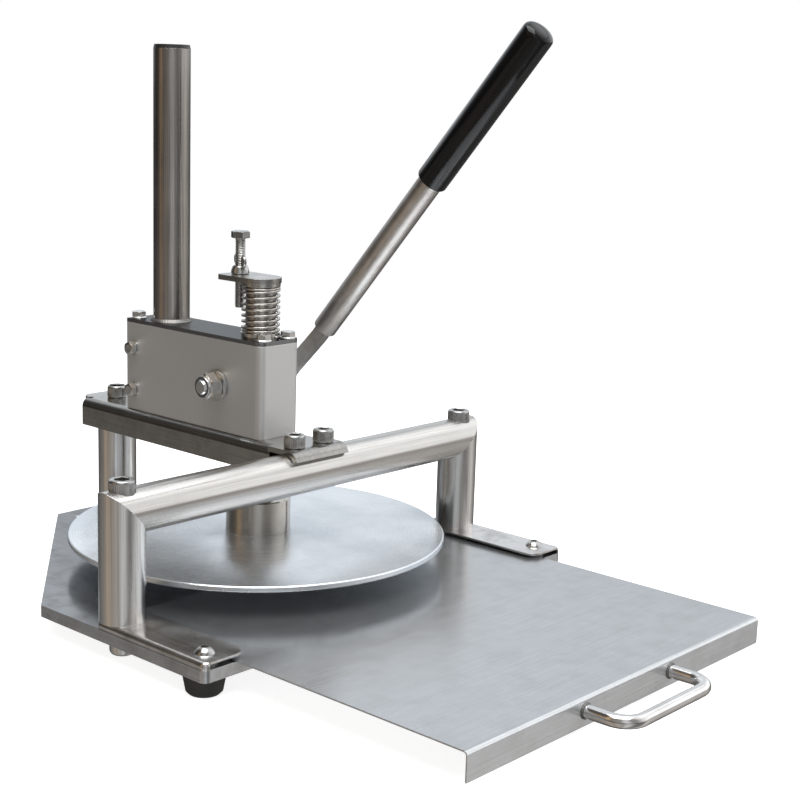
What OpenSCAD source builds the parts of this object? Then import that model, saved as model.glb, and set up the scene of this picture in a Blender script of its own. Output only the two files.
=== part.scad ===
// Hand dough press. A lever turns a crank inside the head, the crank pushes a ram down,
// and the ram's round plate flattens what lies on the sliding tray. A spring lifts the ram.
// +X is to the right, the tray slides out towards -Y, and the feet stand on Z = 0.

/* [Frame tubes] */
// Outside diameter of the frame tubes
tube_d = 32; // [28:1:36]
// Wall of the frame tubes
tube_wall = 2.5; // [1.5:0.5:3.5]
// Distance between the axes of the portal's posts
post_gap = 348; // [340:1:400]
// Height of the crossbar's axis above the rails
portal_h = 75; // [72:1:110]
// Distance of the rear post behind the portal
rear_post_y = 230; // [228:1:250]

/* [Base] */
// Length of the base ahead of the portal
base_front = 100.5; // [85:0.5:140]
// Length of the straight sides behind the portal
base_side_run = 73; // [40:1:120]
// Length of the base behind the rear post's axis
base_tail = 26; // [20:0.5:40]
// Width of the rear edge
base_rear_w = 86; // [70:1:160]
// Thickness of the base sheet
base_sheet = 2; // [1:0.5:3]
// Height of the turned-down edge
base_flange = 8.5; // [7.5:0.5:12]

/* [Feet] */
// Height of the rubber feet below the base's edge
foot_h = 13.5; // [12:0.5:20]
// Diameter of a foot at its top
foot_top_d = 29; // [26:0.5:32]
// Diameter of a foot at the floor
foot_floor_d = 24.5; // [22:0.5:26]

/* [Rails] */
// Width of the rails' top
rail_w = 36; // [34:0.5:46]
// Thickness of the rails
rail_t = 1.5; // [1:0.5:2.5]
// Height of the slot that the tray's edges run in
slot_h = 3.5; // [3:0.5:8]
// Length of the rails behind the posts' axes
rail_tail = 8; // [8:1:40]

/* [Tray] */
// Length of the tray
tray_len = 309; // [260:1:312]
// Thickness of the tray's sheet
tray_t = 1; // [0.75:0.25:2]
// Height of the tray's front edge
tray_flange = 19; // [16:0.5:20]
// Distance that the tray stands out of the base
tray_out = 192.5; // [150:0.5:200]
// Diameter of the handle's rod
handle_d = 9; // [8:0.5:11]
// Distance between the handle's legs
handle_gap = 96; // [80:1:140]
// Reach of the handle's axis ahead of the tray
handle_reach = 32; // [28:1:45]

/* [Press plate] */
// Diameter of the press plate
disc_d = 290; // [220:1:300]
// Thickness of the press plate
disc_t = 4.5; // [3:0.5:8]
// Gap between the tray and the raised plate
press_gap = 17.8; // [17:0.2:24]
// Diameter of the plate's hub
hub_d = 50; // [40:1:60]
// Height of the plate's hub
hub_h = 26; // [20:1:30]
// Diameter of the ram
ram_d = 23; // [22:0.5:24]
// Distance of the ram behind the portal
ram_y = 54.5; // [52:0.5:60]
// Travel of the ram
ram_travel = 15; // [8:0.5:16]

/* [Head] */
// Width of the head
head_w = 41; // [40:0.5:44]
// Length of the head
head_len = 158; // [154:1:164]
// Height of the head's walls
head_h = 71; // [68:1:90]
// Thickness of the head's walls
head_wall = 4; // [3:0.5:4.5]
// Thickness of the head's lid
lid_t = 3; // [2:0.5:5]
// Width of the channel beam
beam_w = 51; // [48:0.5:60]
// Depth of the channel beam
beam_h = 22.5; // [20:0.5:28]
// Thickness of the channel beam
beam_t = 4; // [3:0.5:5]
// Diameter of the column behind the ram
column_d = 29; // [25:0.5:32]
// Height of the column
column_h = 213; // [120:1:260]

/* [Lever] */
// Lean of the raised lever from upright, towards the tray
lever_lean = 41; // [30:0.5:50]
// Sideways place of the lever
lever_x = 59; // [55:1:66]
// Diameter of the lever's tube
lever_d = 18.5; // [18:0.5:20]
// Distance from the pivot to the tube's lower end
lever_start = 55; // [45:1:80]
// Distance from the pivot to the grip's lower end
grip_start = 214.5; // [180:0.5:240]
// Distance from the pivot to the grip's end
lever_reach = 356; // [320:1:420]
// Diameter of the grip
grip_d = 23.5; // [22:0.5:28]

/* [Spring and stop] */
// Length of the return spring
spring_len = 35; // [33:0.5:44]
// Curls of the return spring
spring_curls = 8; // [6:1:9]
// Diameter of the spring's wire
spring_wire = 2.3; // [1.8:0.1:2.6]
// Length of the stop bolt under its head
stop_len = 53; // [48:1:56]
// Gap between the stop bolt and the lid
stop_gap = 20; // [19:0.5:24]

/* [Hidden] */
$fn = 64;

// Shared clearances: overrun of cuts, bolts in holes, shafts in bearings, and moving faces
over = 1;
fit = 0.2;
run = 0.05;
gap = 0.3;

// Screw sizes: thread, head width, head height, key width
m5 = [5, 8.5, 5, 4];
m6 = [6, 10, 5, 5];
m8 = [8, 13, 5.5, 5];
m8_button = [8, 14, 4.4, 5];
m10 = [10, 16, 10, 8];
m12 = [12, 18, 12, 10];
thread = 0;
head = 1;
tall = 2;
key = 3;
key_depth_share = 0.5;

// Levels above the floor
base_top = foot_h + base_flange;
sheet_under = base_top - base_sheet;
rail_under = base_top + slot_h;
rail_top = rail_under + rail_t;
bar_z = rail_top + portal_h;
web_under = bar_z + tube_d / 2;
web_top = web_under + beam_t;
wall_top = web_top + head_h;
lid_top = wall_top + lid_t;
tray_lift = 0.3;
tray_under = base_top + tray_lift;
tray_top = tray_under + tray_t;
disc_under = tray_top + press_gap;
disc_top = disc_under + disc_t;

// Plan places
post_x = post_gap / 2;
post_lap = 1.5;
base_x = post_x + tube_d / 2 - post_lap;
base_round = 5;
rail_step = 0.4;
rail_out_x = base_x - rail_step;
base_rear = rear_post_y + base_tail;
rear_x = base_rear_w / 2;
taper = (base_x - rear_x) / (base_rear - base_side_run);
rail_bend = 3;
rail_round = base_round - rail_step;
rail_corner = 10;
spacer_d = 18;
foot_inset = 16.5;
front_foot_y = foot_inset - base_front;
rear_foot_x = 34;
rear_foot_back = 8;
rear_foot_y = rear_post_y + rear_foot_back;

// Feet
foot_neck_d = 22;
foot_edge = 2;
foot_recess_d = 16;
foot_recess_h = 8;
foot_nut_h = 6.5;

// Tray
tray_side_gap = 2.5;
tray_x = post_x - spacer_d / 2 - tray_side_gap;
tray_front = -base_front - tray_out;
tray_bend = 3;
handle_bend = 15;
handle_drop_share = 0.48;
handle_z = tray_top - tray_flange * handle_drop_share;
handle_y = tray_front - handle_reach;

// Cap nuts: height of the hexagon and of the whole nut, and the rounding of its end
dome_hex = 9;
dome_h = 17;
dome_round = 3.5;

// Depth of the seats that the portal's screws are sunk in
corner_seat = 5;
seat_z = bar_z + tube_d / 2 - corner_seat;

// Head
head_front = 22.5;
head_y0 = ram_y - head_front;
head_y1 = head_y0 + head_len;
head_round = 6;
head_in_x = head_w / 2 - head_wall;
boss_d = 9;
boss_in = 8;
boss_back = 5.5;
boss_x = head_w / 2 - boss_in;
boss_y = head_y0 + boss_back;
block_len = 24;
block_inset = 1;
block_y1 = head_y1 - block_inset;
block_y0 = block_y1 - block_len;
block_screw_x = 9;
lid_bolt_in = 5;
lid_rear_x = 13;
lid_bolt_y = block_y1 - lid_bolt_in;
block_screw_y = block_y0 + lid_bolt_in;
screw_grip = 10;
side_bolt_in = 8;
side_bolt_rows = [16.5, 50.5];
side_bolt_y = block_y1 - side_bolt_in;
side_bolt_zs = [for (row = side_bolt_rows) web_top + row];
side_washer_d = 12;
side_washer_t = 1.2;
flange_d = 11.6;
flange_t = 1.4;
lid_hex_h = 4.2;
column_wall = 2;
column_back = 104.5;
column_y = ram_y + column_back;
column_weld = 2;
cap_h = 3;
cap_plug = 10;

// Beam
beam_bend = 7;
beam_start = tube_d / 2 + gap;
beam_tail = 14;
beam_end = rear_post_y + beam_tail;
notch_len = 5;
saddle_w = 54;
saddle_flat = 5.5;
saddle_bend = 6;
saddle_turn = 75;
saddle_screw_x = 15;
insert_len = 60;
insert_screw = 12;

// Pivot and crank
pivot_back = 25.5;
pivot_h = 35.5;
pivot_y = ram_y + pivot_back;
pivot_z = web_top + pivot_h;
shaft_d = 17;
shaft_gap = 0.5;
shaft_in = -head_in_x + shaft_gap;
washer_t = 2.5;
washer_d = 24;
nut_h = 10;
nut_collar_h = 3;
nut_collar_d = 16;
shaft_show = 1.5;
nut_start = -head_w / 2 - gap - washer_t;
shaft_tip = nut_start - nut_h - nut_collar_h - shaft_show;
arm_w = 10;
arm_hub_d = 26;
arm_t = 8;
nose_d = 12;
crank_half = asin(ram_travel / 2 / pivot_back);
window_gap = 0.4;
window_z = pivot_z + ram_travel / 2;
relief_y = 5;
relief_h = 17;

// Lever: a flat bar on the shaft's end, bent outwards and held in the tube by a round plug
bar_w = 12;
bar_t = 6;
bar_set = 5;
bar_knee = 10;
bar_bend_end = 45;
bar_grip = 36;
bar_plug = 6;
lever_wall = 2.25;
lever_bore = lever_d - 2 * lever_wall;
dome_share = 0.2;

// Ram, spring and stop
bush_d = 27;
bush_len = 20;
guide_below = 15;
guide_above = 10;
collar_seat_d = 29.6;
collar_seat_h = 4;
spring_d = 29.6;
spring_foot = lid_top + collar_seat_h;
cup_z = spring_foot + spring_len + gap;
cup_t = 2.5;
plate_z = cup_z + cup_t;
plate_t = 4;
plate_w = 31;
plate_back = 33.5;
plate_round = 4;
spigot_d = 12;
stop_back = 23.5;
stop_y = ram_y + stop_back;
stop_under = lid_top + stop_gap;
stop_head_z = stop_under + stop_len;
nut_base_d = 14;
nut_base_h = 6;
wing_d = 9;
wing_t = 2.6;
wing_x = 9;
wing_z = 10;
wing_turn = 64;
disc_edge = 0.8;
disc_screw_len = 18;
disc_screw_head = 15;

// Rings and sides of the spring's wire
curl_rings = 8;
wire_sides = 6;

// The whole press is centred over its own footprint
portal_y = -(handle_y - handle_d / 2 + base_rear) / 2;

steel = [0.74, 0.75, 0.76];
polished = [0.84, 0.85, 0.87];
satin = [0.62, 0.62, 0.61];
dark = [0.12, 0.12, 0.13];
bronze = [0.66, 0.52, 0.3];

module place() {
    translate([0, portal_y, 0]) children();
}

// A cylinder along X, centred
module xcyl(d, w) {
    rotate([0, 90, 0]) cylinder(d = d, h = w, center = true);
}

// A cylinder along X from one place to another
module xspan(d, from, to) {
    translate([from, 0, 0]) rotate([0, 90, 0]) cylinder(d = d, h = to - from);
}

module ring(od, id, h) {
    difference() {
        cylinder(d = od, h = h);
        translate([0, 0, -over]) cylinder(d = id, h = h + 2 * over);
    }
}

module hexagon(across, h) {
    cylinder(d = across / cos(30), h = h, $fn = 6);
}

module on_sides(x) {
    for (side = [-1, 1]) translate([side * x, 0, 0]) children();
}

// Socket-head screw pointing down, its seat at Z = 0
module cap_screw(size, len) {
    difference() {
        union() {
            cylinder(d = size[head], h = size[tall]);
            translate([0, 0, -len]) cylinder(d = size[thread], h = len);
        }
        translate([0, 0, size[tall] * (1 - key_depth_share)]) hexagon(size[key], size[tall]);
    }
}

// Button-head screw pointing down, its seat at Z = 0
module button_screw(size, len) {
    bulge = (pow(size[head] / 2, 2) + pow(size[tall], 2)) / (2 * size[tall]);
    difference() {
        union() {
            intersection() {
                translate([0, 0, size[tall] - bulge]) sphere(r = bulge);
                cylinder(d = size[head], h = size[tall]);
            }
            translate([0, 0, -len]) cylinder(d = size[thread], h = len);
        }
        translate([0, 0, size[tall] * (1 - key_depth_share)]) hexagon(size[key], size[tall]);
    }
}

// Hexagon-head bolt pointing down, its seat at Z = 0
module hex_bolt(size, len) {
    hexagon(size[head], size[tall]);
    translate([0, 0, -len]) cylinder(d = size[thread], h = len);
}

// Cap nut hanging from Z = 0, its closed end round
module dome_nut(size) {
    dome_r = size[head] / 2;
    difference() {
        union() {
            translate([0, 0, -dome_hex]) hexagon(size[head], dome_hex);
            translate([0, 0, dome_round - dome_h]) cylinder(r = dome_r, h = dome_h - dome_round);
            translate([0, 0, -dome_h]) cylinder(r = dome_r - dome_round, h = dome_h);
            translate([0, 0, dome_round - dome_h]) rotate_extrude() translate([dome_r - dome_round, 0])
                circle(r = dome_round);
        }
        translate([0, 0, -dome_hex]) cylinder(d = size[thread], h = dome_hex + over);
    }
}

// Half-width of the base at a place behind the taper's start, drawn in by a wall
function taper_x(y, wall) = base_x - wall * sqrt(1 + taper * taper) - (y - base_side_run) * taper;
function taper_start(wall) = base_side_run + (wall - wall * sqrt(1 + taper * taper)) / taper;

module base_plan(wall) {
    side = base_x - wall;
    front = base_front - wall;
    back = base_rear - wall;
    turn = taper_start(wall);
    round_r = base_round - wall;
    polygon([
        [round_r - side, -front], [side - round_r, -front], [side, round_r - front], [side, turn],
        [taper_x(back, wall), back], [-taper_x(back, wall), back], [-side, turn], [-side, round_r - front]
    ]);
    on_sides(side - round_r) translate([0, round_r - front]) circle(r = round_r);
}

module base_holes() {
    on_sides(post_x) {
        circle(d = m12[thread] + 2 * fit);
        translate([0, front_foot_y]) circle(d = m8[thread] + 2 * fit);
    }
    translate([0, rear_post_y]) circle(d = m10[thread] + 2 * fit);
    on_sides(rear_foot_x) translate([0, rear_foot_y]) circle(d = m6[thread]);
}

module base_pan() {
    color(steel) {
        translate([0, 0, sheet_under]) linear_extrude(base_sheet) difference() {
            base_plan(0);
            base_holes();
        }
        translate([0, 0, foot_h]) linear_extrude(base_flange - base_sheet) difference() {
            base_plan(0);
            base_plan(base_sheet);
        }
    }
}

// Angle section of a rail: a top, a bend and a lip that stands on the base
module rail_section() {
    lip = rail_top - base_top;
    difference() {
        union() {
            translate([-rail_w, -rail_t]) square([rail_w - rail_bend, rail_t]);
            translate([-rail_t, -lip]) square([rail_t, lip - rail_bend]);
            intersection() {
                translate([-rail_bend, -rail_bend]) circle(r = rail_bend);
                translate([-rail_bend, -rail_bend]) square(rail_bend);
            }
        }
        translate([-rail_bend, -rail_bend]) circle(r = rail_bend - rail_t);
    }
}

// Rail along one side, its lip led round the front corner of the base
module rail() {
    run_len = base_front - rail_round + rail_tail;
    lip = rail_top - base_top;
    difference() {
        union() {
            translate([rail_out_x, rail_tail, rail_top]) rotate([90, 0, 0]) linear_extrude(run_len)
                rail_section();
            translate([rail_out_x - rail_round, rail_round - base_front, rail_top]) rotate([0, 0, -90])
                rotate_extrude(angle = 90) intersection() {
                    translate([rail_round, 0]) rail_section();
                    translate([0, -lip]) square([rail_round, lip]);
                }
            translate([rail_out_x - rail_w, -base_front, rail_under])
                cube([rail_w - rail_round, rail_round, rail_t]);
        }
        translate([post_x, 0, rail_under - over]) cylinder(d = m12[thread] + 2 * fit, h = rail_t + 2 * over);
        translate([post_x, front_foot_y, rail_under - over])
            cylinder(d = m8[thread] + 2 * fit, h = rail_t + 2 * over);
        translate([rail_out_x - rail_w, -base_front, rail_under - over])
            linear_extrude(rail_t + 2 * over) difference() {
                translate([-over, -over]) square(rail_corner + over);
                translate([rail_corner, rail_corner]) circle(r = rail_corner);
            }
    }
}

module left_rail() {
    color(polished) mirror([1, 0, 0]) rail();
}

module right_rail() {
    color(polished) rail();
}

module rail_spacers() {
    color(steel) on_sides(post_x) translate([0, 0, base_top]) {
        ring(spacer_d, m12[thread] + 2 * fit, slot_h);
        translate([0, front_foot_y, 0]) ring(spacer_d, m8[thread] + 2 * fit, slot_h);
    }
}

module foot(bore) {
    rotate_extrude() polygon([
        [bore / 2, foot_recess_h], [foot_recess_d / 2, foot_recess_h], [foot_recess_d / 2, 0],
        [foot_floor_d / 2 - foot_edge, 0], [foot_floor_d / 2, foot_edge], [foot_top_d / 2, foot_h],
        [foot_neck_d / 2, foot_h], [foot_neck_d / 2, sheet_under], [bore / 2, sheet_under]
    ]);
}

module rubber_feet() {
    color(dark) {
        on_sides(post_x) translate([0, front_foot_y, 0]) foot(m8[thread] + 2 * fit);
        on_sides(rear_foot_x) translate([0, rear_foot_y, 0]) foot(m6[thread] + 2 * fit);
    }
}

module front_foot_bolts() {
    len = rail_top - foot_recess_h + foot_nut_h;
    color(polished) on_sides(post_x) translate([0, front_foot_y, rail_top]) button_screw(m8_button, len);
}

module front_foot_nuts() {
    color(steel) on_sides(post_x) translate([0, front_foot_y, foot_recess_h - foot_nut_h]) difference() {
        hexagon(m8[head], foot_nut_h);
        translate([0, 0, -over]) cylinder(d = m8[thread], h = foot_nut_h + 2 * over);
    }
}

module rear_foot_screws() {
    color(steel) on_sides(rear_foot_x) translate([0, rear_foot_y, foot_recess_h]) rotate([180, 0, 0])
        hex_bolt(m6, base_top - foot_recess_h);
}

// Everything on one side of a mitred corner: below it on a post, beyond it on the crossbar
module mitre_half(side) {
    reach = portal_h + post_gap;
    translate([-post_x, 0, bar_z]) rotate([0, 45, 0]) translate([-reach, -reach, side < 0 ? -2 * reach : 0])
        cube(2 * reach);
}

module post() {
    difference() {
        translate([-post_x, 0, rail_top]) ring(tube_d, tube_d - 2 * tube_wall, portal_h + tube_d);
        mitre_half(1);
    }
}

module left_post() {
    color(steel) post();
}

module right_post() {
    color(steel) mirror([1, 0, 0]) post();
}

// Flat seats of the corner screws, and the screws' holes
module corner_seats() {
    on_sides(post_x) {
        translate([0, 0, seat_z]) cylinder(d = m12[head] + 2 * fit, h = tube_d);
        translate([0, 0, bar_z - tube_d]) cylinder(d = m12[thread] + 2 * fit, h = 2 * tube_d);
    }
}

module mitred_bar(d) {
    difference() {
        translate([0, 0, bar_z]) xcyl(d, post_gap + 2 * tube_d);
        mitre_half(-1);
        mirror([1, 0, 0]) mitre_half(-1);
        corner_seats();
    }
}

module saddle_holes(d) {
    on_sides(saddle_screw_x) translate([0, 0, web_under - tube_wall - insert_screw])
        cylinder(d = d, h = tube_d);
}

module crossbar() {
    color(steel) difference() {
        mitred_bar(tube_d);
        translate([0, 0, bar_z]) xcyl(tube_d - 2 * tube_wall, post_gap + 4 * tube_d);
        saddle_holes(m10[thread] + 2 * fit);
    }
}

module corner_plugs() {
    color(steel) difference() {
        mitred_bar(tube_d - 2 * tube_wall);
        translate([0, 0, bar_z]) xcyl(tube_d, post_gap - 2 * tube_d);
    }
}

module portal_screws() {
    color(polished) on_sides(post_x) translate([0, 0, seat_z])
        cap_screw(m12, seat_z - sheet_under + dome_hex);
}

module portal_nuts() {
    color(polished) on_sides(post_x) translate([0, 0, sheet_under]) dome_nut(m12);
}

module rear_post() {
    color(steel) translate([0, rear_post_y, base_top])
        ring(tube_d, tube_d - 2 * tube_wall, web_under - base_top);
}

module rear_post_screw() {
    color(polished) translate([0, rear_post_y, web_top]) cap_screw(m10, web_top - sheet_under + dome_hex);
}

module rear_post_nut() {
    color(polished) translate([0, rear_post_y, sheet_under]) dome_nut(m10);
}

// Outline of the channel with its round shoulders, its web's top at Y = 0
module beam_outline() {
    half = beam_w / 2;
    translate([-half, -beam_h]) square([beam_w, beam_h - beam_bend]);
    translate([-half + beam_bend, -beam_h]) square([beam_w - 2 * beam_bend, beam_h]);
    on_sides(half - beam_bend) translate([0, -beam_bend]) circle(r = beam_bend);
}

// Upside-down channel
module beam_section() {
    half = beam_w / 2;
    difference() {
        beam_outline();
        translate([-half + beam_t, -beam_h - over]) square([beam_w - 2 * beam_t, beam_h - beam_bend + over]);
        translate([-half + beam_bend, -beam_h - over])
            square([beam_w - 2 * beam_bend, beam_h - beam_t + over]);
        on_sides(half - beam_bend) translate([0, -beam_bend]) circle(r = beam_bend - beam_t);
    }
}

// Tongue over the crossbar, with a lip that turns down in front of it
module saddle() {
    bend_z = web_under - saddle_bend;
    translate([-saddle_w / 2, -saddle_flat, web_under]) cube([saddle_w, saddle_flat + beam_start, beam_t]);
    translate([-saddle_w / 2, -saddle_flat, bend_z]) rotate([180, -90, 0])
        rotate_extrude(angle = saddle_turn) translate([saddle_bend, 0]) square([beam_t, saddle_w]);
}

module channel_beam() {
    color(steel) difference() {
        union() {
            translate([0, beam_end, web_top]) rotate([90, 0, 0]) linear_extrude(beam_end - beam_start)
                beam_section();
            translate([0, beam_start + beam_t, web_top]) rotate([90, 0, 0]) linear_extrude(beam_t)
                beam_outline();
            saddle();
        }
        saddle_holes(m10[thread] + 2 * fit);
        translate([0, rear_post_y, web_under - over])
            cylinder(d = m10[thread] + 2 * fit, h = beam_t + 2 * over);
        translate([0, ram_y, web_under - over]) cylinder(d = bush_d, h = beam_t + 2 * over);
        on_sides(boss_x) translate([0, boss_y, web_under - over])
            cylinder(d = m5[thread] + 2 * fit, h = beam_t + 2 * over);
        on_sides(block_screw_x) translate([0, block_screw_y, web_under - over])
            cylinder(d = m5[thread] + 2 * fit, h = beam_t + 2 * over);
        on_sides(beam_w / 2 - beam_bend) translate([-beam_t / 2, beam_end - notch_len, web_under - over])
            cube([beam_t, notch_len + over, beam_t + 2 * over]);
    }
}

module crossbar_insert() {
    color(steel) difference() {
        translate([0, 0, bar_z]) xcyl(tube_d - 2 * tube_wall, insert_len);
        saddle_holes(m10[thread]);
    }
}

module saddle_screws() {
    color(polished) on_sides(saddle_screw_x) translate([0, 0, web_top])
        cap_screw(m10, beam_t + tube_wall + insert_screw);
}

// Plan of the head, drawn in by a wall, with its front corners round
module head_plan(wall) {
    half = head_w / 2 - wall;
    round_r = head_round - wall;
    translate([-half, head_y0 + head_round]) square([2 * half, head_len - head_round]);
    translate([-half + round_r, head_y0 + wall]) square([2 * (half - round_r), head_round]);
    on_sides(half - round_r) translate([0, head_y0 + head_round]) circle(r = round_r);
}

module boss_plan(d) {
    on_sides(boss_x) translate([0, boss_y]) circle(d = d);
}

module side_bolt_places() {
    for (side = [-1, 1], z = side_bolt_zs) translate([side * head_w / 2, side_bolt_y, z])
        rotate([0, side * 90, 0]) children();
}

module head_housing() {
    color(satin) difference() {
        translate([0, 0, web_top]) linear_extrude(head_h) difference() {
            union() {
                difference() {
                    head_plan(0);
                    head_plan(head_wall);
                    translate([-head_in_x, head_y1 - head_wall]) square([2 * head_in_x, head_wall + over]);
                }
                intersection() {
                    boss_plan(boss_d);
                    head_plan(0);
                }
            }
            boss_plan(m5[thread]);
        }
        translate([0, pivot_y, pivot_z]) {
            xspan(m12[thread] + 2 * run, -head_w, 0);
            xspan(shaft_d + 2 * run, 0, head_w);
        }
        side_bolt_places() cylinder(d = m6[thread] + 2 * fit, h = 3 * head_wall, center = true);
    }
}

module rear_block() {
    color(steel) difference() {
        translate([-head_in_x, block_y0, web_top]) cube([2 * head_in_x, block_len, head_h]);
        side_bolt_places() cylinder(d = m6[thread], h = 2 * (head_wall + screw_grip), center = true);
        on_sides(block_screw_x) translate([0, block_screw_y, web_top - over])
            cylinder(d = m5[thread], h = screw_grip + over);
        on_sides(lid_rear_x) translate([0, lid_bolt_y, wall_top - screw_grip])
            cylinder(d = m5[thread], h = screw_grip + over);
    }
}

module side_washers() {
    color(polished) side_bolt_places() ring(side_washer_d, m6[thread] + 2 * fit, side_washer_t);
}

module side_bolts() {
    color(polished) side_bolt_places() translate([0, 0, side_washer_t])
        hex_bolt(m6, side_washer_t + head_wall + screw_grip);
}

module housing_screws() {
    color(steel) {
        on_sides(boss_x) translate([0, boss_y, web_under]) rotate([180, 0, 0])
            cap_screw(m5, beam_t + screw_grip);
        on_sides(block_screw_x) translate([0, block_screw_y, web_under]) rotate([180, 0, 0])
            cap_screw(m5, beam_t + screw_grip);
    }
}

module lid_bolt_places() {
    on_sides(boss_x) translate([0, boss_y, 0]) children();
    on_sides(lid_rear_x) translate([0, lid_bolt_y, 0]) children();
}

module head_lid() {
    color(polished) difference() {
        translate([0, 0, wall_top]) linear_extrude(lid_t) head_plan(0);
        translate([0, ram_y, wall_top - over]) cylinder(d = bush_d, h = lid_t + 2 * over);
        lid_bolt_places() translate([0, 0, wall_top - over])
            cylinder(d = m5[thread] + 2 * fit, h = lid_t + 2 * over);
    }
}

// Flanged hexagon bolts of the lid
module lid_bolts() {
    color(polished) lid_bolt_places() translate([0, 0, lid_top]) {
        cylinder(d = flange_d, h = flange_t);
        translate([0, 0, flange_t]) hexagon(m6[head], lid_hex_h);
        translate([0, 0, -lid_t - screw_grip]) cylinder(d = m5[thread], h = lid_t + screw_grip);
    }
}

module column() {
    color(steel) translate([0, column_y, lid_top]) difference() {
        union() {
            cylinder(d = column_d, h = column_h);
            cylinder(d1 = column_d + 2 * column_weld, d2 = column_d, h = column_weld);
        }
        translate([0, 0, -over]) cylinder(d = column_d - 2 * column_wall, h = column_h + 2 * over);
    }
}

module column_cap() {
    color(dark) translate([0, column_y, lid_top + column_h]) {
        cylinder(d1 = column_d, d2 = column_d - cap_h / 2, h = cap_h);
        translate([0, 0, -cap_plug]) cylinder(d = column_d - 2 * column_wall, h = cap_plug);
    }
}

module upper_bush() {
    color(bronze) translate([0, ram_y, lid_top]) difference() {
        union() {
            cylinder(d = collar_seat_d, h = collar_seat_h);
            translate([0, 0, -bush_len]) cylinder(d = bush_d, h = bush_len);
        }
        translate([0, 0, -bush_len - over])
            cylinder(d = ram_d + 2 * run, h = bush_len + collar_seat_h + 2 * over);
    }
}

module lower_bush() {
    color(bronze) translate([0, ram_y, web_under - guide_below])
        ring(bush_d, ram_d + 2 * run, guide_below + beam_t + guide_above);
}

// Stepped shaft through the head: its thick part carries the crank and the lever's bar
module lever_shaft() {
    color(polished) translate([0, pivot_y, pivot_z]) {
        xspan(m12[thread], shaft_tip, 0);
        xspan(shaft_d, shaft_in, lever_x - bar_set - bar_t / 2);
    }
}

module shaft_washer() {
    color(polished) translate([-head_w / 2 - gap, pivot_y, pivot_z]) rotate([0, -90, 0])
        ring(washer_d, m12[thread] + 2 * fit, washer_t);
}

module shaft_nut() {
    color(polished) translate([nut_start, pivot_y, pivot_z]) rotate([0, -90, 0]) difference() {
        union() {
            hexagon(m12[head], nut_h);
            translate([0, 0, nut_h]) cylinder(d1 = m12[head], d2 = nut_collar_d, h = nut_collar_h);
        }
        translate([0, 0, -over]) cylinder(d = m12[thread], h = nut_h + over);
        translate([0, 0, nut_h]) cylinder(d = nut_collar_d - 2 * fit, h = nut_collar_h + over);
    }
}

module shaft_nut_insert() {
    color(dark) translate([nut_start - nut_h, pivot_y, pivot_z]) rotate([0, -90, 0])
        ring(nut_collar_d - 2 * fit, m12[thread], nut_collar_h);
}

module crank_arm() {
    color(steel) translate([0, pivot_y, pivot_z]) rotate([-crank_half, 0, 0]) difference() {
        union() {
            xcyl(arm_hub_d, arm_w);
            translate([-arm_w / 2, -pivot_back, -arm_t / 2]) cube([arm_w, pivot_back, arm_t]);
            translate([0, -pivot_back, 0]) xcyl(nose_d, arm_w);
        }
        xcyl(shaft_d, arm_w + 2 * over);
    }
}

module along_lever() {
    translate([lever_x, pivot_y, pivot_z]) rotate([lever_lean, 0, 0]) children();
}

// Flat bar with a round lower end, bent outwards between the shaft and the tube
module lever_bar() {
    half = bar_t / 2;
    bar_end = lever_start + bar_grip;
    color(polished) along_lever() {
        translate([-bar_set, 0, 0]) xcyl(bar_w, bar_t);
        rotate([90, 0, 0]) translate([0, 0, -bar_w / 2]) linear_extrude(bar_w) polygon([
            [-bar_set - half, 0], [half - bar_set, 0], [half - bar_set, bar_knee], [half, bar_bend_end],
            [half, bar_end], [-half, bar_end], [-half, bar_bend_end], [-bar_set - half, bar_knee]
        ]);
        translate([0, 0, lever_start]) cylinder(d = lever_bore, h = bar_plug);
    }
}

tube_end = lever_reach - grip_d / 2;

module lever_tube() {
    color(polished) along_lever() translate([0, 0, lever_start])
        ring(lever_d, lever_bore, tube_end - lever_start);
}

// Grip with a rounded end
module lever_grip() {
    dome = grip_d * dome_share;
    color(dark) along_lever() difference() {
        rotate_extrude() difference() {
            union() {
                translate([0, grip_start]) square([grip_d / 2, lever_reach - grip_start - dome]);
                translate([0, grip_start]) square([grip_d / 2 - dome, lever_reach - grip_start]);
                translate([grip_d / 2 - dome, lever_reach - dome]) circle(r = dome);
            }
            translate([-grip_d, grip_start]) square([grip_d, lever_reach]);
        }
        translate([0, 0, grip_start - over]) cylinder(d = lever_d, h = tube_end - grip_start + over);
    }
}

module ram() {
    window = nose_d + 2 * window_gap;
    slot_w = arm_w + 2 * gap;
    color(polished) translate([0, ram_y, 0]) difference() {
        union() {
            translate([0, 0, disc_top]) cylinder(d = ram_d, h = plate_z - disc_top);
            translate([0, 0, plate_z]) cylinder(d = spigot_d, h = plate_t);
        }
        translate([-slot_w / 2, -window / 2, window_z - window / 2]) cube([slot_w, ram_d, window]);
        translate([-slot_w / 2, relief_y, window_z - relief_h / 2]) cube([slot_w, ram_d, relief_h]);
        translate([0, 0, disc_top - over]) cylinder(d = m8[thread], h = disc_screw_len + over);
    }
}

module press_disc() {
    color(polished) translate([0, ram_y, disc_under]) difference() {
        rotate_extrude() polygon([
            [0, 0], [disc_d / 2 - disc_edge, 0], [disc_d / 2, disc_edge], [disc_d / 2, disc_t - disc_edge],
            [disc_d / 2 - disc_edge, disc_t], [0, disc_t]
        ]);
        translate([0, 0, -over]) cylinder(d = m8[thread] + 2 * fit, h = disc_t + 2 * over);
        cylinder(d1 = disc_screw_head, d2 = m8[thread], h = (disc_screw_head - m8[thread]) / 2);
    }
}

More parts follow.
